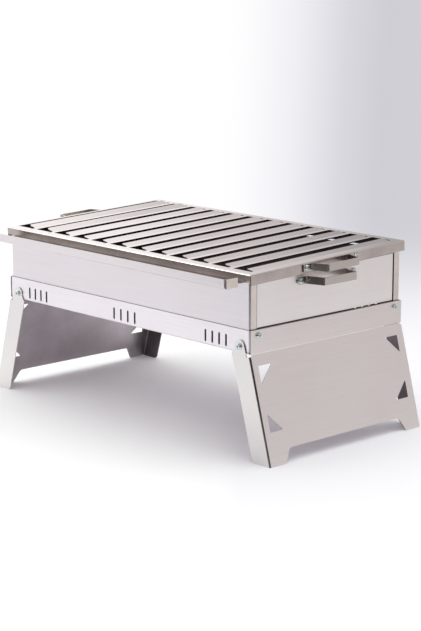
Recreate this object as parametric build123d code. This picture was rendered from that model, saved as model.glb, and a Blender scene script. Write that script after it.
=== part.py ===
"""Folding tabletop charcoal grill in stainless sheet.

A shallow base with two folding leg panels carries the firebox. A charcoal drawer slides out of the
firebox's right end, a slotted grate lies on top with a fall to the front, and a grease tray hangs in
slits along the front.
"""
from build123d import *
import math
import os

# Driving sizes, in millimetres. X runs to the drawer end, -Y to the tray side and Z up. The grill is
# worked out about the middle of its base, and moved at the end so that its footprint is centred.
sheet = 1.2                 # sheet of the base, firebox, drawer, tray and legs
grate_sheet = 1.5           # thicker sheet of the grate
bend = 2.5                  # outer radius of a fold
slip = 0.2                  # between fixed pieces that stand inside each other
play = 0.4                  # between pieces that move past each other

base_length = 490.0         # over the two end plates
base_depth = 280.0          # over the front and rear walls
base_height = 30.5
ground_gap = 137.0          # from the table to the base's underside
return_flange = 22.0        # flange behind each end of an end plate
corner_relief = 3.0         # cut-away at the foot of each return flange

vent_width = 3.2
vent_height = 16.0
vent_rise = 12.2            # from the base's underside to the vents' middle
vents_in_group = 4
vent_pitch = 12.7
vent_group_x = 182.0        # middle of the outer vent groups
middle_vent_pitch = 14.1
middle_vent_x = 4.3

wall_lap = 9.0              # how far the firebox walls reach down into the base
end_lap = 15.5              # how far its end walls reach down, past their screws

grate_overhang = 2.0        # past the base's end plates
grate_depth = 285.5         # along its slope
grate_height = 101.3        # from the base's underside to the grate's front edge
grate_fall = 10.0           # how much lower the front edge is than the rear edge
front_skirt = 10.3
end_skirt = 13.5
slot_count = 12
slot_pitch = 40.0
slot_width = 20.5
first_slot = 7.0            # from the grate's left end to the first slot
front_border = 15.3         # from the grate's front edge to the slots
rear_border = 12.0
wing_width = 12.0           # the side of each slat that is bent up
wing_rise = 2.2
first_wing_rise = 3.6       # on the first slats, which are bent up further
first_wings = 2
end_wing_rise = 1.5         # on the strip at the drawer end
wing_slit = 4.0             # cut that frees each end of a wing
wing_corner = 2.5

opening_width = 254.0       # drawer opening in the firebox's right end
opening_gap = 1.5           # round the drawer's front panel
opening_sill = 0.5          # from the base's top edge up to the opening
panel_front_top = 87.3      # from the base's underside to the panel's top edge, at the front
panel_rear_top = 95.0       # the same at the rear
panel_recess = 1.0          # how far the panel lies behind the firebox's face
drawer_gap = 14.4           # from the firebox's long walls to the drawer's side walls
drawer_wall = 43.5          # stays below the handle's nuts
runner_rise = 2.1           # from the opening's sill up to the runners
runner_lap = 5.6            # how far a runner reaches under the drawer
runner_drop = 10.0
ash_slot_width = 5.0
ash_slot_length = 62.0
ash_slot_rows = 3
ash_slot_pitch = 24.0
ash_row_pitch = 76.0
ash_slot_columns = 18

tray_reach = 42.2           # from the grate's front edge to the tray's front face
tray_wall = 11.8
tray_end_depth = 21.0       # the tray's ends stop short of the grate's skirt
tray_corner = 16.0          # cut from the floor's rear corners, clear of the grate's ends
tray_tab_width = 60.0
tray_tab_x = 115.0
tray_tab_reach = 9.0        # how far a tab stands inside the firebox
rear_slit_x = (60.0, 170.0)  # the slit in the rear wall, just under the grate's skirt
rear_slit_height = 2.4

splay = 15.4                # degrees between a standing leg panel and the vertical
leg_flange = 31.6
leg_foot_flange = 30.4      # the flange narrows towards the foot
leg_stop_gap = 0.3          # between the panel's top edge and the base
pivot_inset = 18.5          # from the end plate's face to the leg pivot
pivot_rise = 8.4            # from the base's underside to the leg pivot
ear_radius = 8.8
ear_root = 6.3              # from the panel to the ear's outer edge
ear_shoulder = 5.5          # how far the flange's inner edge runs up past the base's underside
ear_shoulder_corner = 6.0
leg_notch = 2.4             # relief between the ear and the panel's top corner
foot_corner = 7.0
arch_height = 18.8          # along the slope
arch_top = 204.0
arch_foot = 225.0
arch_corner = 6.0
arch_foot_corner = 5.0
cutout_side = 23.5          # legs of the triangular cut-outs
cutout_inset = 12.4         # from the leg's outer side to a cut-out
cutout_shift = -1.3         # the four cut-outs sit a little towards the tray side
cutout_drop = 15.2          # from the panel's top edge to the upper cut-outs
cutout_low = 99.5           # from the panel's top edge to the foot of the lower cut-outs
cutout_corner = 0.8

strap = 2.0                 # thickness of the handle strap
strap_bend = 2.6
grate_handle_width = 9.3
grate_handle_bar = 57.0
grate_handle_root = 71.0
grate_handle_length = 102.4
grate_handle_reach = 24.0
grate_handle_drop = 6.2     # from the grate's top face to the strap's middle
grate_screw_spacing = 90.0
drawer_handle_width = 10.0
drawer_handle_bar = 60.5
drawer_handle_root = 75.0
drawer_handle_length = 108.0
drawer_handle_reach = 26.0
drawer_handle_rise = 81.6   # from the base's underside to the strap's middle
drawer_handle_y = -2.0
drawer_screw_spacing = 96.0

screw_radius = 2.0
screw_hole_gap = 0.2
pivot_gap = 0.08            # radial, between a pivot screw and the leg's ear
head_radius = 4.0
head_height = 2.6
recess_width = 1.0
recess_depth = 1.2
nut_width = 7.0             # across flats
nut_height = 3.2
thin_nut_height = 2.2
thread_gap = 0.05
thread_end = 0.6            # how far a screw stands out of its nut
end_screw_inset = 14.0      # from the base's front or rear face
end_screw_drop = 7.3        # from the base's top edge

# Places that follow from the sizes
half_length = base_length / 2
half_depth = base_depth / 2
base_low = ground_gap
base_top = base_low + base_height
shell_half_length = half_length - 2 * sheet - slip
shell_half_depth = half_depth - sheet - slip
grate_length = base_length + 2 * grate_overhang
tilt = math.degrees(math.asin(grate_fall / grate_depth))
grate_front_y = -grate_depth * math.cos(math.radians(tilt)) / 2
grate_front_z = base_low + grate_height
grate_plane = Plane(
    (0, grate_front_y, grate_front_z),
    x_dir=(1, 0, 0),
    z_dir=(0, -math.sin(math.radians(tilt)), math.cos(math.radians(tilt))),
)
sill = base_top + opening_sill
panel_low = sill + opening_gap - opening_sill
runner_top = sill + runner_rise
drawer_half_depth = shell_half_depth - sheet - drawer_gap
panel_outer_x = shell_half_length - panel_recess
panel_inner_x = panel_outer_x - sheet
rear_skirt_low = grate_front_z + grate_fall - end_skirt * math.cos(math.radians(tilt))
tray_front_y = grate_front_y - tray_reach
tray_low = grate_front_z - front_skirt - play - sheet
leg_origin = (half_length, 0, base_low)
lean = math.radians(splay)
leg_half_depth = half_depth + play + sheet
pivot_x = half_length - pivot_inset
pivot_z = base_low + pivot_rise
screw_face_y = leg_half_depth + pivot_gap + head_height
footprint_y = (tray_front_y + screw_face_y) / 2
to_row = Pos(0, -footprint_y, 0)


def block(x, y, z):
    """A box between two X, two Y and two Z values."""
    middle = [(low + high) / 2 for low, high in (x, y, z)]
    return Pos(*middle) * Box(x[1] - x[0], y[1] - y[0], z[1] - z[0])


def pan(x, y, z, thickness, radius):
    """A folded box with rounded vertical corners, open above and below."""
    outer = fillet(block(x, y, z).edges().filter_by(Axis.Z), radius)
    inside = block(
        (x[0] + thickness, x[1] - thickness), (y[0] + thickness, y[1] - thickness), (z[0] - 1, z[1] + 1)
    )
    return outer - fillet(inside.edges().filter_by(Axis.Z), radius - thickness)


def bent_strip(points, radius, thickness, width):
    """A strip folded along points in the XY plane, as wide as width along Z and centred on it."""
    line = FilletPolyline(*points, radius=radius)
    outline = line.offset_2d(thickness, side=Side.LEFT, closed=True)
    return Pos(0, 0, -width / 2) * extrude(make_face(outline), width)


def tube_along(axis, centre, radius, length):
    """A cylinder about centre along X or Y."""
    turn = Rot(0, 90, 0) if axis == "x" else Rot(90, 0, 0)
    return Pos(*centre) * turn * Cylinder(radius, length)


def pan_screw(grip):
    """A cross recessed pan head screw along Z, its head's seat at 0 and its shank as long as grip."""
    head = Pos(0, 0, head_height / 2) * Cylinder(head_radius, head_height)
    head = fillet(head.edges().group_by(Axis.Z)[-1], head_height * 0.6)
    shank = Pos(0, 0, -grip / 2) * Cylinder(screw_radius, grip)
    arm = head_radius * 1.1
    low = head_height - recess_depth
    cross = block((-arm / 2, arm / 2), (-recess_width / 2, recess_width / 2), (low, head_height + 1))
    return head + shank - cross - Rot(0, 0, 90) * cross


def hex_nut(height):
    """A hexagon nut along Z, seated at 0 and reaching down."""
    prism = extrude(RegularPolygon(nut_width / 2, 6, major_radius=False), -height)
    return prism - Cylinder(screw_radius + thread_gap, 3 * height)


def facing(direction, centre):
    """The place of a fastener whose head points along +X, -X, +Y or -Y."""
    turns = {"+x": Rot(0, 90, 0), "-x": Rot(0, -90, 0), "+y": Rot(-90, 0, 0), "-y": Rot(90, 0, 0)}
    return Pos(*centre) * turns[direction]


def strap_handle(width, bar, root, length, reach, screw_spacing):
    """A handle bent from strap, its feet on the YZ plane and its grip towards +X."""
    points = [(strap, -length / 2), (strap, -root / 2), (reach, -bar / 2)]
    points += [(x, -y) for x, y in reversed(points)]
    handle = bent_strip(points, strap_bend, strap, width)
    for side in (-1, 1):
        handle -= tube_along("x", (0, side * screw_spacing / 2, 0), screw_radius + screw_hole_gap, 4 * strap)
    return handle


def base_housing():
    """Floor, vented front and rear walls, and the return flanges behind the end plates."""
    outer_x = half_length - sheet
    x = (-outer_x + bend, outer_x - bend)
    trough = block(x, (-half_depth, half_depth), (base_low, base_top))
    trough = fillet(trough.edges().filter_by(Axis.X).group_by(Axis.Z)[0], bend)
    hollow = block(x, (-half_depth + sheet, half_depth - sheet), (base_low + sheet, base_top + bend))
    trough -= fillet(hollow.edges().filter_by(Axis.X).group_by(Axis.Z)[0], bend - sheet)
    flat_y = half_depth - bend - sheet
    floor = block((-outer_x, outer_x), (-flat_y, flat_y), (base_low, base_low + sheet))
    rising = (base_low + corner_relief, base_top)
    walls = pan((-outer_x, outer_x), (-half_depth, half_depth), rising, sheet, bend)
    housing = trough + floor + walls
    flange_y = half_depth - return_flange
    for side in (-1, 1):
        gap_x = sorted((side * (outer_x - 2 * sheet), side * (outer_x + 1)))
        housing -= block(gap_x, (-flange_y, flange_y), (base_low + sheet, base_top + 1))
        for edge in (-1, 1):
            hole_y = edge * (half_depth - end_screw_inset)
            hole_z = base_top - end_screw_drop
            housing -= tube_along(
                "x", (side * outer_x, hole_y, hole_z), screw_radius + screw_hole_gap, 4 * sheet
            )
            housing -= tube_along(
                "y", (side * pivot_x, edge * half_depth, pivot_z), screw_radius + thread_gap, 4 * sheet
            )
    vents = Sketch() + [Pos(x, 0) * SlotOverall(vent_height, vent_width, rotation=90) for x in vent_places()]
    housing -= Pos(0, 0, base_low + vent_rise) * Rot(90, 0, 0) * extrude(vents, base_depth, both=True)
    return housing


def vent_places():
    """The X of every vent, in three groups."""
    places = []
    for middle, pitch in (
        (-vent_group_x, vent_pitch),
        (middle_vent_x, middle_vent_pitch),
        (vent_group_x, vent_pitch),
    ):
        places += [middle + (i - (vents_in_group - 1) / 2) * pitch for i in range(vents_in_group)]
    return places


def base_end(side):
    """Flat plate screwed over one end of the base."""
    x = sorted((side * (half_length - sheet), side * half_length))
    plate = block(x, (-half_depth, half_depth), (base_low, base_top))
    plate = fillet(plate.edges().filter_by(Axis.X), sheet)
    for edge in (-1, 1):
        centre = (side * half_length, edge * (half_depth - end_screw_inset), base_top - end_screw_drop)
        plate -= tube_along("x", centre, screw_radius + screw_hole_gap, 4 * sheet)
    return plate


def end_screw_places():
    """The seats of the four screws that hold the end plates, and the way each head points."""
    z = base_top - end_screw_drop
    for side, direction in ((-1, "-x"), (1, "+x")):
        for edge in (-1, 1):
            yield direction, side, edge * (half_depth - end_screw_inset), z


def firebox_shell():
    """Walls of the firebox, folded round its corners and cut to the grate's fall."""
    x = (-shell_half_length, shell_half_length)
    y = (-shell_half_depth, shell_half_depth)
    high = grate_front_z + grate_fall + bend
    shell = pan(x, y, (base_top - wall_lap, high), sheet, bend)
    for side in (-1, 1):
        lap_x = sorted((side * (shell_half_length - sheet), side * shell_half_length))
        lap_y = (-shell_half_depth + bend, shell_half_depth - bend)
        shell += block(lap_x, lap_y, (base_top - end_lap, base_top - wall_lap + 1))
        for edge in (-1, 1):
            centre = (side * shell_half_length, edge * (half_depth - end_screw_inset), base_top - end_screw_drop)
            shell -= tube_along("x", centre, screw_radius + screw_hole_gap, 4 * sheet)
    above = block((-base_length, base_length), (-base_depth, 2 * base_depth), (-grate_sheet, base_length))
    shell -= Location(grate_plane) * above
    half = opening_width / 2
    front_top = base_low + panel_front_top + opening_gap
    rear_top = base_low + panel_rear_top + opening_gap
    corners = [(-half, sill), (half, sill), (half, rear_top), (-half, front_top)]
    opening = make_face(Polyline(*corners, close=True))
    shell -= Pos(shell_half_length, 0, 0) * extrude(Plane.YZ * opening, 4 * sheet, both=True)
    for side in (-1, 1):
        slit_x = (side * tray_tab_x - tray_tab_width / 2 - play, side * tray_tab_x + tray_tab_width / 2 + play)
        slit_z = (tray_low - play, tray_low + sheet + play)
        shell -= block(slit_x, (-shell_half_depth - 1, -shell_half_depth + 2 * sheet), slit_z)
    rear_y = (shell_half_depth - 2 * sheet, shell_half_depth + 1)
    rear_z = (rear_skirt_low - play - rear_slit_height, rear_skirt_low - play)
    return shell - block(rear_slit_x, rear_y, rear_z)


def drawer_runner(edge):
    """Angle on the inside of a long wall, under one side of the drawer."""
    x = shell_half_length - 2 * bend
    wall_y = shell_half_depth - sheet
    shelf_y = sorted((edge * wall_y, edge * (drawer_half_depth - runner_lap)))
    leg_y = sorted((edge * wall_y, edge * (wall_y - sheet)))
    shelf = block((-x, x), shelf_y, (runner_top - sheet, runner_top))
    return shelf + block((-x, x), leg_y, (runner_top - runner_drop, runner_top))


def charcoal_drawer():
    """Open box with a slotted floor, which holds the coals."""
    left = -shell_half_length + sheet + play
    half = drawer_half_depth
    outer = block((left, panel_inner_x), (-half, half), (runner_top, runner_top + drawer_wall))
    inside = block(
        (left + sheet, panel_inner_x - sheet),
        (-half + sheet, half - sheet),
        (runner_top + sheet, runner_top + 2 * drawer_wall),
    )
    drawer = fillet(outer.edges().filter_by(Axis.Z), bend)
    drawer -= fillet(inside.edges().filter_by(Axis.Z), bend - sheet)
    slot = SlotOverall(ash_slot_length, ash_slot_width, rotation=90)
    grid = GridLocations(ash_slot_pitch, ash_row_pitch, ash_slot_columns, ash_slot_rows)
    slots = extrude(Sketch() + [place * slot for place in grid], 2 * sheet, both=True)
    return drawer - Pos((left + panel_inner_x) / 2, 0, runner_top) * slots


def drawer_front():
    """Panel that closes the firebox's end, welded to the drawer."""
    half = opening_width / 2 - opening_gap
    corners = [
        (-half, panel_low),
        (half, panel_low),
        (half, base_low + panel_rear_top),
        (-half, base_low + panel_front_top),
    ]
    panel = extrude(Plane.YZ * make_face(Polyline(*corners, close=True)), sheet)
    panel = Pos(panel_inner_x, 0, 0) * panel
    for _, centre in drawer_screw_places():
        panel -= tube_along("x", centre, screw_radius + screw_hole_gap, 8 * sheet)
    return panel


def drawer_screw_places():
    """Where the drawer handle's screws pass through the panel."""
    for side in (-1, 1):
        y = drawer_handle_y + side * drawer_screw_spacing / 2
        yield "+x", (panel_outer_x, y, base_low + drawer_handle_rise)


def drawer_handle():
    """Strap handle on the drawer's front panel."""
    handle = strap_handle(
        drawer_handle_width,
        drawer_handle_bar,
        drawer_handle_root,
        drawer_handle_length,
        drawer_handle_reach,
        drawer_screw_spacing,
    )
    foot = drawer_handle_width * 0.49
    ends = handle.edges().filter_by(Axis.X)
    ends = [edge for edge in ends if abs(edge.center().Y) > drawer_handle_length / 2 - 0.1]
    handle = fillet(ends, foot)
    return Pos(panel_outer_x, drawer_handle_y, base_low + drawer_handle_rise) * handle


def grill_grate():
    """One sheet with a turned-down skirt and twelve slots, each slat's left side bent up."""
    half = grate_length / 2
    outer = block((-half, half), (0, grate_depth), (-end_skirt, 0))
    outer = fillet(outer.edges().filter_by(Axis.Z) + outer.faces().sort_by(Axis.Z)[-1].edges(), grate_sheet)
    inside = block(
        (-half + grate_sheet, half - grate_sheet),
        (grate_sheet, grate_depth - grate_sheet),
        (-end_skirt - 1, -grate_sheet),
    )
    grate = outer - inside
    below = block((-half + grate_sheet, half - grate_sheet), (-1, 2 * grate_sheet), (-end_skirt - 1, -front_skirt))
    grate -= below
    slot_y = (front_border, grate_depth - rear_border)
    for i in range(slot_count):
        left = -half + first_slot + i * slot_pitch
        right = left + slot_width + wing_width
        rise = first_wing_rise if i < first_wings else wing_rise
        if i == slot_count - 1:
            rise = end_wing_rise
        grate -= block((left, right), slot_y, (-end_skirt, 1))
        profile = [
            (right, 0),
            (right - wing_width, rise),
            (right - wing_width, rise - grate_sheet),
            (right, -grate_sheet),
        ]
        wing = extrude(Plane.XZ * make_face(Polyline(*profile, close=True)), slot_y[0] - slot_y[1] + 2 * wing_slit)
        wing = Pos(0, slot_y[0] + wing_slit, 0) * wing
        tips = wing.edges().filter_by(Axis.Z).group_by(Axis.X)[0]
        grate += fillet(tips, wing_corner)
    for side in (-1, 1):
        for _, centre in grate_screw_places():
            hole = (side * half, centre[1], centre[2])
            grate -= tube_along("x", hole, screw_radius + screw_hole_gap, 4 * grate_sheet)
    return Location(grate_plane) * grate


def grate_screw_places():
    """Where a grate handle's screws pass through the right skirt, in the grate's own plane."""
    for side in (-1, 1):
        y = grate_depth / 2 + side * grate_screw_spacing / 2
        yield "+x", (grate_length / 2, y, -grate_handle_drop)


def grate_handle():
    """Strap handle on the grate's right skirt."""
    handle = strap_handle(
        grate_handle_width,
        grate_handle_bar,
        grate_handle_root,
        grate_handle_length,
        grate_handle_reach,
        grate_screw_spacing,
    )
    return Location(grate_plane) * Pos(grate_length / 2, grate_depth / 2, -grate_handle_drop) * handle


def grease_tray():
    """Channel along the front that catches the fat, with two tabs that hang in the firebox's slits."""
    half = grate_length / 2
    wall_y = -shell_half_depth - play
    y = (tray_front_y, wall_y)
    outer = block((-half, half), y, (tray_low, tray_low + tray_wall))
    corners = outer.edges().filter_by(Axis.Z).group_by(Axis.Y)[0]
    outer = fillet(corners + outer.edges().filter_by(Axis.X).group_by(Axis.Z)[0].group_by(Axis.Y)[0], bend)
    inside = block(
        (-half + sheet, half - sheet), (tray_front_y + sheet, wall_y + 1), (tray_low + sheet, tray_low + 2 * tray_wall)
    )
    edges = inside.edges().filter_by(Axis.Z).group_by(Axis.Y)[0]
    edges += inside.edges().filter_by(Axis.X).group_by(Axis.Z)[0].group_by(Axis.Y)[0]
    tray = outer - fillet(edges, bend - sheet)
    open_y = (tray_front_y + tray_end_depth, wall_y + 1)
    tray -= block((-half - 1, half + 1), open_y, (tray_low + sheet, tray_low + 2 * tray_wall))
    for side in (-1, 1):
        corner_x = sorted((side * (half - tray_corner), side * (half + 1)))
        tray -= block(corner_x, open_y, (tray_low - 1, tray_low + sheet + 1))
    for side in (-1, 1):
        tab_x = (side * tray_tab_x - tray_tab_width / 2, side * tray_tab_x + tray_tab_width / 2)
        tab_y = (wall_y - sheet, -shell_half_depth + sheet + tray_tab_reach)
        tray += block(tab_x, tab_y, (tray_low, tray_low + sheet))
    return tray


def leg_point(outward, up):
    """World X and Z of a point given across and along the right leg's panel."""
    x = half_length + outward * math.cos(lean) - up * math.sin(lean)
    z = base_low + outward * math.sin(lean) + up * math.cos(lean)
    return x, z


def leg_right():
    """Leg panel with two side flanges, whose ears turn on the pivot screws."""
    plane = Plane(
        leg_origin, x_dir=(math.cos(lean), 0, math.sin(lean)), z_dir=(-math.sin(lean), 0, math.cos(lean))
    )
    reach = ground_gap / math.cos(lean) + leg_flange
    channel = block((-2 * leg_flange, 0), (-leg_half_depth, leg_half_depth), (-reach, leg_flange))
    channel = fillet(channel.edges().filter_by(Axis.Z).group_by(Axis.X)[-1], bend)
    hollow = block(
        (-3 * leg_flange, -sheet), (-leg_half_depth + sheet, leg_half_depth - sheet), (-reach - 1, leg_flange + 1)
    )
    channel -= fillet(hollow.edges().filter_by(Axis.Z).group_by(Axis.X)[-1], bend - sheet)
    for edge in (-1, 1):
        notch_y = sorted((edge * (leg_half_depth - bend - sheet), edge * (leg_half_depth + 1)))
        channel -= block((-ear_root, 1), notch_y, (-leg_notch, leg_flange + 1))
    channel = Location(plane) * channel

    across = -pivot_inset * math.cos(lean) + pivot_rise * math.sin(lean)
    along = pivot_inset * math.sin(lean) + pivot_rise * math.cos(lean)
    floor_x = half_length + base_low * math.tan(lean)
    foot_inner = leg_point(-leg_foot_flange, -base_low / math.cos(lean))
    shoulder = leg_point(-leg_flange, ear_shoulder)
    fall = shoulder[1] / (shoulder[1] - foot_inner[1])
    inner_x = shoulder[0] + fall * (foot_inner[0] - shoulder[0])
    outline = [
        leg_point(0, -leg_stop_gap),
        leg_point(-ear_root, -leg_stop_gap),
        leg_point(across + ear_radius, along),
        leg_point(across - ear_radius, along),
        shoulder,
        (inner_x, 0),
        (floor_x, 0),
    ]
    side = make_face(Polyline(*outline, close=True))
    side = fillet(side.vertices().sort_by_distance((inner_x, 0))[0], foot_corner)
    side = fillet(side.vertices().sort_by_distance(shoulder)[0], ear_shoulder_corner)
    side += Pos(pivot_x, pivot_z) * Circle(ear_radius)
    side -= Pos(pivot_x, pivot_z) * Circle(screw_radius + pivot_gap)
    leg = channel & extrude(Plane.XZ * side, 2 * leg_half_depth, both=True)

    face = Plane(leg_origin, x_dir=(0, 1, 0), z_dir=(math.cos(lean), 0, math.sin(lean)))
    low = -ground_gap / math.cos(lean)
    half_foot = arch_foot / 2
    arch = [
        (-half_foot - 3 * arch_foot_corner, low - 2),
        (-half_foot - 3 * arch_foot_corner, low),
        (-half_foot, low),
        (-arch_top / 2, low + arch_height),
    ]
    arch += [(-y, z) for y, z in reversed(arch)]
    cutouts = make_face(Polyline(*arch, close=True))
    for y, z, radius in (
        (half_foot, low, arch_foot_corner),
        (arch_top / 2, low + arch_height, arch_corner),
    ):
        for edge in (-1, 1):
            cutouts = fillet(cutouts.vertices().sort_by_distance((edge * y, z))[0], radius)
    for edge in (-1, 1):
        y = edge * (leg_half_depth - cutout_inset) + cutout_shift
        for z, way in ((-cutout_drop, -1), (-cutout_low, 1)):
            corners = [(y, z), (y - edge * cutout_side, z), (y, z + way * cutout_side)]
            triangle = make_face(Polyline(*corners, close=True))
            cutouts += fillet(triangle.vertices(), cutout_corner)
    return leg - extrude(Location(face) * cutouts, 2 * sheet, both=True)


end_grip = 3 * sheet + slip + nut_height + thread_end
pivot_grip = 2 * sheet + play + nut_height + thread_end
drawer_grip = strap + sheet + nut_height + thread_end
grate_grip = strap + grate_sheet + thin_nut_height
shell_inner_x = shell_half_length - sheet

end_screws = [
    facing(way, (side * half_length, y, z)) * pan_screw(end_grip) for way, side, y, z in end_screw_places()
]
end_nuts = [
    facing(way, (side * shell_inner_x, y, z)) * hex_nut(nut_height) for way, side, y, z in end_screw_places()
]
pivot_screws, pivot_nuts = [], []
for side in (-1, 1):
    for edge, way in ((-1, "-y"), (1, "+y")):
        head_seat = (side * pivot_x, edge * (leg_half_depth + pivot_gap), pivot_z)
        nut_seat = (side * pivot_x, edge * (half_depth - sheet), pivot_z)
        pivot_screws.append(facing(way, head_seat) * pan_screw(pivot_grip + pivot_gap))
        pivot_nuts.append(facing(way, nut_seat) * hex_nut(nut_height))

drawer_screws, drawer_nuts = [], []
for way, (x, y, z) in drawer_screw_places():
    drawer_screws.append(facing(way, (x + strap, y, z)) * pan_screw(drawer_grip))
    drawer_nuts.append(facing(way, (panel_inner_x, y, z)) * hex_nut(nut_height))

right_screws, right_nuts = [], []
for way, (x, y, z) in grate_screw_places():
    right_screws.append(Location(grate_plane) * facing(way, (x + strap, y, z)) * pan_screw(grate_grip))
    right_nuts.append(Location(grate_plane) * facing(way, (x - grate_sheet, y, z)) * hex_nut(thin_nut_height))


def mirrored(shapes):
    """The shapes' copies at the left end."""
    return [mirror(shape, about=Plane.YZ) for shape in shapes]


right_leg = leg_right()
right_handle = grate_handle()
nodes = {
    "base_housing": [base_housing()],
    "base_end_left": [base_end(-1)],
    "base_end_right": [base_end(1)],
    "base_end_screws": end_screws,
    "base_end_nuts": end_nuts,
    "firebox_shell": [firebox_shell()],
    "drawer_runner_front": [drawer_runner(-1)],
    "drawer_runner_rear": [drawer_runner(1)],
    "leg_pivot_screws": pivot_screws,
    "leg_pivot_nuts": pivot_nuts,
    "leg_left": mirrored([right_leg]),
    "leg_right": [right_leg],
    "charcoal_drawer": [charcoal_drawer()],
    "drawer_front": [drawer_front()],
    "drawer_handle": [drawer_handle()],
    "drawer_handle_screws": drawer_screws,
    "drawer_handle_nuts": drawer_nuts,
    "grill_grate": [grill_grate()],
    "grate_handle_left": mirrored([right_handle]),
    "grate_handle_right": [right_handle],
    "grate_handle_screws": right_screws + mirrored(right_screws),
    "grate_handle_nuts": right_nuts + mirrored(right_nuts),
    "grease_tray": [grease_tray()],
}

os.makedirs("parts", exist_ok=True)
for name, shapes in nodes.items():
    placed = [to_row * shape for shape in shapes]
    whole = placed[0] if len(placed) == 1 else Compound(children=placed)
    export_step(whole, f"parts/{name}.step")
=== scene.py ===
import math

import bpy
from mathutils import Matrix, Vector


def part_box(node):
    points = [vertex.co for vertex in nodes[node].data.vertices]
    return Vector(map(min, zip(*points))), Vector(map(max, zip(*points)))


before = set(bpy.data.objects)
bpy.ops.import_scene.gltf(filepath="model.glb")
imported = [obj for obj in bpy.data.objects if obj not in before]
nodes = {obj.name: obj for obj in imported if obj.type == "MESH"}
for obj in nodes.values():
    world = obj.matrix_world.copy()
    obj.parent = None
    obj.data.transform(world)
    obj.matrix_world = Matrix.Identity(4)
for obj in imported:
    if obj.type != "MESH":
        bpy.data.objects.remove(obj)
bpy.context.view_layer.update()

# ---- Base housing
# A shallow trough of brushed stainless sheet, 1.2 mm thick, with three groups of four upright vents
# along each long wall. It catches the ash and carries everything else.
lengthwise = (1.0, 0.0, 0.0)
crosswise = (0.0, 1.0, 0.0)
upright = (0.0, 0.0, 1.0)
along_grain = 14.0
across_grain = 1500.0
brushing = {
    "long": (along_grain, across_grain, across_grain),
    "short": (across_grain, along_grain, across_grain),
}
heat_tint = (0.975, 0.965, 0.955)
untinted = (1.0, 1.0, 1.0)
gloss_spread = 0.02
scratch_strength = 0.015
scratch_depth = 0.0002
square_on = 0.72  # the cosine squared from which a surface counts as facing an axis


def feed(tree, socket, value):
    """Gives a socket another node's output, or a constant."""
    if isinstance(value, bpy.types.NodeSocket):
        tree.links.new(value, socket)
    else:
        socket.default_value = value


def reckon(tree, operation, first, second):
    """One sum, product or test of two values."""
    made = tree.nodes.new("ShaderNodeMath")
    made.operation = operation
    feed(tree, made.inputs[0], first)
    feed(tree, made.inputs[1], second)
    return made.outputs["Value"]


def reach(tree, vector, axis):
    """How far a vector reaches along axis."""
    made = tree.nodes.new("ShaderNodeVectorMath")
    made.operation = "DOT_PRODUCT"
    feed(tree, made.inputs[0], vector)
    feed(tree, made.inputs[1], axis)
    return made.outputs["Value"]


def remap(tree, value, given, wanted, interpolation="LINEAR"):
    """Turns the range given of a value into the range wanted, and stays inside it."""
    made = tree.nodes.new("ShaderNodeMapRange")
    made.interpolation_type = interpolation
    made.inputs["From Min"].default_value, made.inputs["From Max"].default_value = given
    made.inputs["To Min"].default_value, made.inputs["To Max"].default_value = wanted
    tree.links.new(value, made.inputs["Value"])
    return made.outputs["Result"]


def cloud(tree, place, scale, detail):
    """Soft noise over a place, from 0 to 1."""
    made = tree.nodes.new("ShaderNodeTexNoise")
    made.inputs["Scale"].default_value = scale
    made.inputs["Detail"].default_value = detail
    tree.links.new(place, made.inputs["Vector"])
    return made.outputs["Fac"]


def shade(tree, share, stops):
    """A colour that runs through stops as share goes from 0 to 1."""
    made = tree.nodes.new("ShaderNodeValToRGB")
    while len(made.color_ramp.elements) < len(stops):
        made.color_ramp.elements.new(0.5)
    for element, (position, colour) in zip(made.color_ramp.elements, stops):
        element.position = position
        element.color = (*colour, 1.0)
    tree.links.new(share, made.inputs["Fac"])
    return made.outputs["Color"]


def mottled(tree, share, colour, darker, lighter, start=0.3, end=0.7):
    """Shades of one colour, from darker to lighter as share goes from start to end."""
    dark_shade = [darker * c for c in colour]
    light_shade = [min(1.0, lighter * c) for c in colour]
    return shade(tree, share, ((start, dark_shade), (end, light_shade)))


def mix(tree, share, under, over, data="RGBA", blend="MIX"):
    """Lays over on under, as far as share says."""
    made = tree.nodes.new("ShaderNodeMix")
    made.data_type = data
    made.blend_type = blend
    feed(tree, made.inputs["Factor"], share)
    feed(tree, made.inputs["A"], under)
    feed(tree, made.inputs["B"], over)
    return made.outputs["Result"]


def new_material(name):
    """A material and its nodes."""
    made = bpy.data.materials.new(name)
    made.use_nodes = True
    return made, made.node_tree


def sheet_steel(name, colour, grain, roughness):
    """Brushed stainless sheet. grain is the way it is brushed: long or short."""
    made, tree = new_material(name)
    steel = tree.nodes["Principled BSDF"]
    place = tree.nodes.new("ShaderNodeTexCoord").outputs["Object"]
    stretch = tree.nodes.new("ShaderNodeMapping")
    stretch.inputs["Scale"].default_value = brushing[grain]
    tree.links.new(place, stretch.inputs["Vector"])
    lines = cloud(tree, stretch.outputs["Vector"], scale=1.0, detail=1.0)
    smears = cloud(tree, place, scale=7.0, detail=3.0)

    brushed = mottled(tree, lines, colour, darker=0.975, lighter=1.02)
    heated = shade(tree, smears, ((0.35, heat_tint), (0.65, untinted)))
    tree.links.new(mix(tree, 1.0, brushed, heated, blend="MULTIPLY"), steel.inputs["Base Color"])
    spread = (roughness - gloss_spread, roughness + gloss_spread)
    tree.links.new(remap(tree, smears, (0.0, 1.0), spread), steel.inputs["Roughness"])
    scratch = tree.nodes.new("ShaderNodeBump")
    scratch.inputs["Strength"].default_value = scratch_strength
    scratch.inputs["Distance"].default_value = scratch_depth
    tree.links.new(lines, scratch.inputs["Height"])
    tree.links.new(scratch.outputs["Normal"], steel.inputs["Normal"])
    steel.inputs["Metallic"].default_value = 1.0
    return made


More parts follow.
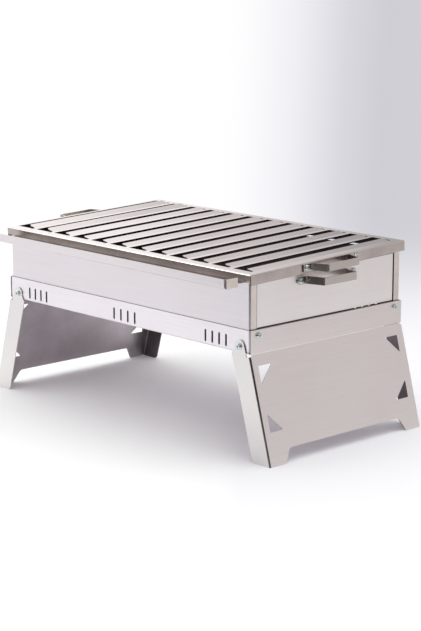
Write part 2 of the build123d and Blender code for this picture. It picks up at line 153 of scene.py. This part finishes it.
def refinish(material, where, colour, roughness):
    """Gives the share where of a steel's surface another colour and gloss, with a slow mottle."""
    tree = material.node_tree
    steel = tree.nodes["Principled BSDF"]
    place = tree.nodes["Texture Coordinate"].outputs["Object"]
    mottle = cloud(tree, place, scale=24.0, detail=4.0)
    finish = mottled(tree, mottle, colour, darker=0.85, lighter=1.12)
    for name, data, over in (("Base Color", "RGBA", finish), ("Roughness", "FLOAT", roughness)):
        socket = steel.inputs[name]
        before = socket.links[0].from_socket
        tree.links.new(mix(tree, where, before, over, data), socket)


def inner_side(material, middle):
    """1 on what faces a folded box's middle, 0 on its outer side."""
    tree = material.node_tree
    place = tree.nodes["Texture Coordinate"]
    about = tree.nodes.new("ShaderNodeVectorMath")
    about.operation = "SUBTRACT"
    about.inputs[1].default_value = middle
    tree.links.new(place.outputs["Object"], about.inputs[0])
    outward = reach(tree, about.outputs["Vector"], place.outputs["Normal"])
    return reckon(tree, "LESS_THAN", outward, 0.0)


def along(material, output, axis):
    """How far a place (Object) or a surface's direction (Normal) lies along axis."""
    tree = material.node_tree
    return reach(tree, tree.nodes["Texture Coordinate"].outputs[output], axis)


def facing(material, axis, beyond=None, limit=0.0):
    """1 on what faces along axis, either way, or only where it lies past limit along beyond."""
    tree = material.node_tree
    turned = along(material, "Normal", axis)
    flat = reckon(tree, "GREATER_THAN", reckon(tree, "MULTIPLY", turned, turned), square_on)
    if beyond is None:
        return flat
    spot = along(material, "Object", beyond)
    return reckon(tree, "MULTIPLY", flat, reckon(tree, "GREATER_THAN", spot, limit))


def middle_of(name):
    """The middle of a CAD node's box."""
    return [(low + high) / 2 for low, high in zip(*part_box(name))]


def dress(material, *names):
    """Gives CAD nodes their finish."""
    for name in names:
        nodes[name].data.materials.clear()
        nodes[name].data.materials.append(material)


housing_rim = 0.16  # what faces up above this height is the cut rim of the walls
# The insides of the base and the firebox are painted near black: painted shade.
inner_shade = (0.10, 0.086, 0.082)
inner_shade_roughness = 0.5
# Cut edges, rims and the sides of the drawer opening are painted near black: painted shade in the
# seams and gaps.
edge_shade = (0.05, 0.042, 0.04)
edge_roughness = 0.45
wall_steel = sheet_steel("wall_steel", (0.87, 0.83, 0.87), grain="long", roughness=0.30)
refinish(wall_steel, inner_side(wall_steel, middle_of("base_housing")), inner_shade, inner_shade_roughness)
rim = facing(wall_steel, upright, beyond=upright, limit=housing_rim)
refinish(wall_steel, rim, edge_shade, edge_roughness)
dress(wall_steel, "base_housing")

# ---- End plates of the base
# Flat plates of the same sheet, brushed across, each held by two pan head screws that run through
# the base's return flange and the firebox wall into nuts.
end_rim = 0.15  # and on the end plates
# The end plates are given a darker, warmer tone than the walls: painted shade.
end_steel = sheet_steel("end_steel", (0.79, 0.74, 0.72), grain="short", roughness=0.30)
rim = facing(end_steel, upright, beyond=upright, limit=end_rim)
# The end plates' rims and side edges are painted near black too: painted shade.
refinish(end_steel, rim, edge_shade, edge_roughness)
refinish(end_steel, facing(end_steel, crosswise), edge_shade, edge_roughness)
dress(end_steel, "base_end_left", "base_end_right")


def plated(name, colour, roughness):
    """Zinc plate with a faint mottle."""
    made, tree = new_material(name)
    zinc = tree.nodes["Principled BSDF"]
    place = tree.nodes.new("ShaderNodeTexCoord").outputs["Object"]
    mottle = cloud(tree, place, scale=900.0, detail=2.0)
    tint = mottled(tree, mottle, colour, darker=0.85, lighter=1.08, start=0.0, end=1.0)
    tree.links.new(tint, zinc.inputs["Base Color"])
    spread = (roughness - 0.05, roughness + 0.08)
    tree.links.new(remap(tree, mottle, (0.0, 1.0), spread), zinc.inputs["Roughness"])
    zinc.inputs["Metallic"].default_value = 1.0
    return made


zinc_plate = plated("zinc_plate", (0.66, 0.74, 0.75), roughness=0.2)
dress(zinc_plate, "base_end_screws", "base_end_nuts")

# ---- Firebox
# Four walls folded from one stainless sheet, cut at the right end for the drawer, with a runner
# spot welded inside each long wall. Its inside is painted dark, as painted shade.
# The shell's end walls are painted a warmer tone than its long walls: painted reflection.
end_wall_reflection = (0.80, 0.73, 0.68)
opening_edge = 0.2411  # just inside the right end wall
shell_steel = sheet_steel("shell_steel", (0.77, 0.73, 0.765), grain="long", roughness=0.31)
refinish(shell_steel, facing(shell_steel, lengthwise), end_wall_reflection, roughness=0.31)
refinish(shell_steel, inner_side(shell_steel, middle_of("firebox_shell")), inner_shade, inner_shade_roughness)
# Its top edges and the sides of the drawer opening are painted near black: painted shade.
refinish(shell_steel, facing(shell_steel, upright), edge_shade, edge_roughness)
opening = facing(shell_steel, crosswise, beyond=lengthwise, limit=opening_edge)
refinish(shell_steel, opening, edge_shade, edge_roughness)
dress(shell_steel, "firebox_shell")
# The runners are painted near black: painted shade inside the firebox.
runner_steel = sheet_steel("runner_steel", (0.15, 0.135, 0.13), grain="long", roughness=0.5)
dress(runner_steel, "drawer_runner_front", "drawer_runner_rear")

# ---- Charcoal drawer
# A welded box with a slotted floor and a brushed front panel, which slides on the runners.
# The strap handle is held by two screws and their nuts.
strap_side_shade = (0.26, 0.235, 0.225)
# The drawer's box is painted near black: painted shade inside the firebox.
drawer_steel = sheet_steel("drawer_steel", (0.14, 0.125, 0.12), grain="long", roughness=0.5)
dress(drawer_steel, "charcoal_drawer")
panel_steel = sheet_steel("panel_steel", (0.93, 0.895, 0.89), grain="short", roughness=0.31)
# The panel's edges are painted near black: painted shade in the gap round it.
for way in (upright, crosswise):
    refinish(panel_steel, facing(panel_steel, way), edge_shade, edge_roughness)
dress(panel_steel, "drawer_front")
strap_steel = sheet_steel("strap_steel", (0.62, 0.57, 0.54), grain="short", roughness=0.24)
# The strap's sides that face front and back are painted darker: painted shade.
refinish(strap_steel, facing(strap_steel, crosswise), strap_side_shade, roughness=0.26)
dress(strap_steel, "drawer_handle")
dress(zinc_plate, "drawer_handle_screws", "drawer_handle_nuts")

# ---- Grate
# One polished stainless sheet with a folded skirt. Twelve slots are cut in it and the left side of
# each slat is bent up, so fat runs down to the front. A strap handle is screwed on at each end.
skirt_reach = 0.2462  # the end skirts lie past it, at either end
# The slot walls are painted near black, and the end skirts, the long skirts, the front fold and the
# underside darker than the top: painted shade on the one polished sheet.
end_skirt_shade = (0.58, 0.52, 0.49)
long_skirt_shade = (0.46, 0.41, 0.39)
front_fold = (0.0, -0.7071, 0.7071)
fold_shade = (0.62, 0.58, 0.57)
downward = -0.5
underside_shade = (0.42, 0.38, 0.37)
grate_steel = sheet_steel("grate_steel", (0.89, 0.86, 0.862), grain="short", roughness=0.2)
refinish(grate_steel, facing(grate_steel, lengthwise), edge_shade, roughness=0.4)
for end in (lengthwise, (-1.0, 0.0, 0.0)):
    outermost = facing(grate_steel, lengthwise, beyond=end, limit=skirt_reach)
    refinish(grate_steel, outermost, end_skirt_shade, roughness=0.22)
refinish(grate_steel, facing(grate_steel, crosswise), long_skirt_shade, roughness=0.25)
refinish(grate_steel, facing(grate_steel, front_fold), fold_shade, roughness=0.26)
turned = along(grate_steel, "Normal", upright)
underside = reckon(grate_steel.node_tree, "LESS_THAN", turned, downward)
refinish(grate_steel, underside, underside_shade, roughness=0.3)
dress(grate_steel, "grill_grate")
dress(strap_steel, "grate_handle_left", "grate_handle_right")
dress(zinc_plate, "grate_handle_screws", "grate_handle_nuts")

# ---- Grease tray
# A channel folded from the same sheet, hung in two slits of the firebox by its tabs. Its inside is
# painted dark as painted shade, and its end walls lighter and warmer as painted light.
tray_end_light = (0.82, 0.76, 0.70)
tray_inside_shade = (0.30, 0.265, 0.255)
shade_rise = 0.004  # painted shade darkens what faces a point this far above the tray's middle
tray_steel = sheet_steel("tray_steel", (0.76, 0.72, 0.745), grain="long", roughness=0.31)
refinish(tray_steel, facing(tray_steel, lengthwise), tray_end_light, roughness=0.26)
in_tray = middle_of("grease_tray")
in_tray[2] += shade_rise
refinish(tray_steel, inner_side(tray_steel, in_tray), tray_inside_shade, roughness=0.4)
dress(tray_steel, "grease_tray")

# ---- Legs
# Each is one folded panel with two side flanges, whose ears turn on screws through the base.
# The folds, the inside of each leg and the insides of its flanges are painted darker, as painted
# shade.
leg_inside_shade = (0.55, 0.5, 0.53)
flange_inside_shade = (0.16, 0.14, 0.15)
leg_fold_shade = (0.30, 0.27, 0.26)
fold_out, fold_front, fold_up = 0.69, -0.69, 0.19  # the way that the folds face
for name in ("leg_left", "leg_right"):
    leg_steel = sheet_steel(name + "_steel", (0.79, 0.765, 0.762), grain="short", roughness=0.30)
    inner = inner_side(leg_steel, middle_of(name))
    refinish(leg_steel, inner, leg_inside_shade, roughness=0.34)
    flange = reckon(leg_steel.node_tree, "MULTIPLY", inner, facing(leg_steel, crosswise))
    refinish(leg_steel, flange, flange_inside_shade, roughness=0.34)
    for side in (1.0, -1.0):
        fold = (fold_out * side, fold_front, fold_up)
        refinish(leg_steel, facing(leg_steel, fold), leg_fold_shade, roughness=0.30)
    dress(leg_steel, name)
dress(zinc_plate, "leg_pivot_screws", "leg_pivot_nuts")

# ---- Floor, light and camera
# A plain table that glows with painted light for the camera and in reflections: its tone fades into
# that of the studio, white to the left, grey to the right.
# A dark card round the front and a shaded one behind stand there only for the steel to reflect,
# and soft boxes hang overhead and to the left.
azimuth = math.radians(47.09)
elevation = math.radians(12.22)
camera_distance = 2.56949
camera_depth = 2.51  # the same, measured along the table
rightward = (math.cos(azimuth), math.sin(azimuth), 0.0)
backward = (-math.sin(azimuth), math.cos(azimuth), 0.0)


def seen_rays(tree):
    """1 where the camera, a reflection or a view through glass looks, 0 where light is gathered."""
    path = tree.nodes.new("ShaderNodeLightPath")
    either = reckon(tree, "MAXIMUM", path.outputs["Is Camera Ray"], path.outputs["Is Glossy Ray"])
    return reckon(tree, "MAXIMUM", either, path.outputs["Is Transmission Ray"])


def fade(tree, value, span, ends=(1.0, 0.0)):
    """Goes softly from the first of ends to the second as value goes through span."""
    return remap(tree, value, span, ends, "SMOOTHSTEP")


def ramp(tree, value, span, stops):
    """A colour that runs through stops as value goes through span."""
    return shade(tree, remap(tree, value, span, (0.0, 1.0)), stops)


table_size = 60.0
lit_span = (0.7, 1.8)  # the table takes light and shadow as far out as this
least_depth = 0.4
ahead_span = (0.6, 1.7)  # the tones fan out from the camera, but not beside or behind it
fan_span = (-0.6, 0.6)
front_span = (2.6, 4.0)  # round the grill the table is white, in front of it and to its left
beside_span = (0.4, 0.65)
painted_white_light = (0.95, 0.945, 0.97, 1.0)
lit_share = 0.92
bpy.ops.object.select_all(action="DESELECT")
bpy.ops.mesh.primitive_plane_add(size=table_size, location=(0.0, 0.0, 0.0))
table = bpy.context.object
table.name = "table"
paper, tree = new_material("table_paper")
tree.nodes.remove(tree.nodes["Principled BSDF"])
place = tree.nodes.new("ShaderNodeTexCoord").outputs["Object"]
distance = tree.nodes.new("ShaderNodeVectorMath")
distance.operation = "LENGTH"
tree.links.new(place, distance.inputs[0])
near = fade(tree, distance.outputs["Value"], lit_span)
sideways = reach(tree, place, rightward)
depth = reckon(tree, "ADD", reach(tree, place, backward), camera_depth)
fan = reckon(tree, "DIVIDE", sideways, reckon(tree, "MAXIMUM", depth, least_depth))
fan = reckon(tree, "MULTIPLY", fan, fade(tree, depth, ahead_span, ends=(0.0, 1.0)))
# Painted light: the table glows in these tones for the camera and in reflections, and near the
# grill the paper also takes them as its colour.
painted_backdrop_light = ramp(
    tree,
    fan,
    fan_span,
    (
        (0.117, (1.03, 1.03, 1.03)),
        (0.167, (0.92, 0.91, 0.92)),
        (0.21, (0.74, 0.73, 0.74)),
        (0.27, (0.72, 0.71, 0.72)),
        (0.35, (1.03, 1.03, 1.03)),
        (0.49, (1.03, 1.03, 1.03)),
        (0.518, (0.985, 0.983, 0.995)),
        (0.54, (0.875, 0.868, 0.91)),
        (0.5625, (0.70, 0.69, 0.74)),
        (0.58, (0.62, 0.615, 0.66)),
        (0.76, (0.75, 0.73, 0.735)),
        (0.88, (0.68, 0.66, 0.665)),
        (1.0, (0.62, 0.60, 0.605)),
    ),
)
in_front = fade(tree, depth, front_span)
to_the_left = fade(tree, sideways, beside_span)
whiter = reckon(tree, "MULTIPLY", in_front, to_the_left)
painted_table_light = mix(tree, whiter, painted_backdrop_light, painted_white_light, blend="LIGHTEN")
matt = tree.nodes.new("ShaderNodeBsdfDiffuse")
tree.links.new(painted_table_light, matt.inputs["Color"])
glow = tree.nodes.new("ShaderNodeEmission")
tree.links.new(painted_table_light, glow.inputs["Color"])
tree.links.new(seen_rays(tree), glow.inputs["Strength"])
paper_mix = tree.nodes.new("ShaderNodeMixShader")
tree.links.new(reckon(tree, "MULTIPLY", near, lit_share), paper_mix.inputs["Fac"])
tree.links.new(glow.outputs["Emission"], paper_mix.inputs[1])
tree.links.new(matt.outputs["BSDF"], paper_mix.inputs[2])
tree.links.new(paper_mix.outputs["Shader"], tree.nodes["Material Output"].inputs["Surface"])
table.data.materials.append(paper)

wall_span = (-0.2, 1.0)
ceiling_span = (0.3, 0.85)
ceiling_tone = 0.45
world = bpy.data.worlds.new("studio")
bpy.context.scene.world = world
world.use_nodes = True
tree = world.node_tree
way = tree.nodes.new("ShaderNodeTexCoord").outputs["Generated"]
height = reach(tree, way, upright)
walls = ramp(
    tree,
    reach(tree, way, rightward),
    wall_span,
    (
        (0.0, (1.0, 1.0, 1.0)),
        (0.5, (0.84, 0.81, 0.82)),
        (1.0, (0.72, 0.67, 0.66)),
    ),
)
room = tree.nodes.new("ShaderNodeVectorMath")
room.operation = "SCALE"
tree.links.new(walls, room.inputs[0])
tree.links.new(fade(tree, height, ceiling_span, ends=(1.0, ceiling_tone)), room.inputs["Scale"])
skylight = ramp(
    tree,
    height,
    (0.0, 1.0),
    (
        (0.0, (0.16, 0.07, 0.14)),
        (0.25, (0.27, 0.20, 0.255)),
        (0.5, (0.60, 0.575, 0.60)),
        (0.75, (1.16, 1.18, 1.17)),
        (1.0, (2.0, 2.06, 2.01)),
    ),
)
studio_tone = mix(tree, seen_rays(tree), skylight, room.outputs["Vector"])
tree.links.new(studio_tone, tree.nodes["Background"].inputs["Color"])


def reflected_only(card):
    """Leaves a card out of everything but reflections."""
    card.visible_camera = False
    card.visible_diffuse = False
    card.visible_transmission = False
    card.visible_shadow = False


dark_radius = 0.85
dark_height = 0.44
dark_from, dark_to = -20.0, 95.0  # degrees round the grill, from its front to its right
dark_paper = (0.03, 0.027, 0.026, 1.0)
bpy.ops.mesh.primitive_cylinder_add(
    vertices=72,
    radius=dark_radius,
    depth=dark_height,
    end_fill_type="NOTHING",
    location=(0.0, 0.0, dark_height / 2),
)
dark_card = bpy.context.object
dark_card.name = "dark_card"
bpy.ops.object.mode_set(mode="EDIT")
bpy.ops.mesh.select_all(action="DESELECT")
bpy.ops.mesh.select_mode(type="FACE")
bpy.ops.object.mode_set(mode="OBJECT")
for face in dark_card.data.polygons:
    turn = math.degrees(math.atan2(face.center.x, -face.center.y))
    face.select = not dark_from < turn < dark_to
bpy.ops.object.mode_set(mode="EDIT")
bpy.ops.mesh.delete(type="FACE")
bpy.ops.object.mode_set(mode="OBJECT")
reflected_only(dark_card)
black_paper, tree = new_material("black_paper")
shader = tree.nodes["Principled BSDF"]
shader.inputs["Base Color"].default_value = dark_paper
shader.inputs["Roughness"].default_value = 0.9
dark_card.data.materials.append(black_paper)

rear_size = 3.2
rear_distance = 1.5
rear_middle = 1.5  # the height of its middle
rear_span = (-0.5, 0.5)
bpy.ops.object.select_all(action="DESELECT")
bpy.ops.mesh.primitive_plane_add(
    size=rear_size,
    location=(rear_distance * backward[0], rear_distance * backward[1], rear_middle),
    rotation=(math.pi / 2, 0.0, azimuth),
)
rear_card = bpy.context.object
rear_card.name = "rear_card"
reflected_only(rear_card)
grey_paper, tree = new_material("grey_paper")
tree.nodes.remove(tree.nodes["Principled BSDF"])
card_tone = ramp(
    tree,
    reach(tree, tree.nodes.new("ShaderNodeNewGeometry").outputs["Position"], rightward),
    rear_span,
    (
        (0.0, (1.05, 1.04, 1.04)),
        (0.4, (0.98, 0.95, 0.94)),
        (0.52, (0.84, 0.80, 0.79)),
        (0.62, (0.64, 0.60, 0.59)),
        (0.78, (0.60, 0.565, 0.56)),
        (0.9, (0.38, 0.36, 0.36)),
    ),
)
glow = tree.nodes.new("ShaderNodeEmission")
tree.links.new(card_tone, glow.inputs["Color"])
tree.links.new(glow.outputs["Emission"], tree.nodes["Material Output"].inputs["Surface"])
rear_card.data.materials.append(grey_paper)

lamp_aim = (0.0, 0.0, 0.1)


def softbox(name, place, size, power):
    """A square area lamp at place, pointed at the grill. It shows in reflections alone."""
    way = Vector(lamp_aim) - Vector(place)
    turn = way.to_track_quat("-Z", "Y").to_euler()
    bpy.ops.object.light_add(type="AREA", location=place, rotation=turn)
    lamp = bpy.context.object
    lamp.name = name
    lamp.data.size = size
    lamp.data.energy = power
    lamp.visible_diffuse = False


softbox("overhead_box", (-1.3, 0.0, 2.2), size=1.5, power=36.0)
softbox("left_box", (-2.2, -1.4, 1.4), size=1.4, power=8.0)

focal_length = 1870.16  # in pixels of the photograph
picture_height = 631
sensor_height = 36
target = Vector((0.02184, 0.02029, 0.13148))
away = Vector((
    math.cos(elevation) * math.sin(azimuth),
    -math.cos(elevation) * math.cos(azimuth),
    math.sin(elevation),
))
bpy.ops.object.camera_add(
    location=target + camera_distance * away,
    rotation=(math.pi / 2 - elevation, 0.0, azimuth),
)
camera = bpy.context.object
camera.data.lens = focal_length / picture_height * sensor_height
camera.data.clip_start = 0.05
bpy.context.scene.camera = camera
bpy.context.scene.view_settings.view_transform = "Standard"
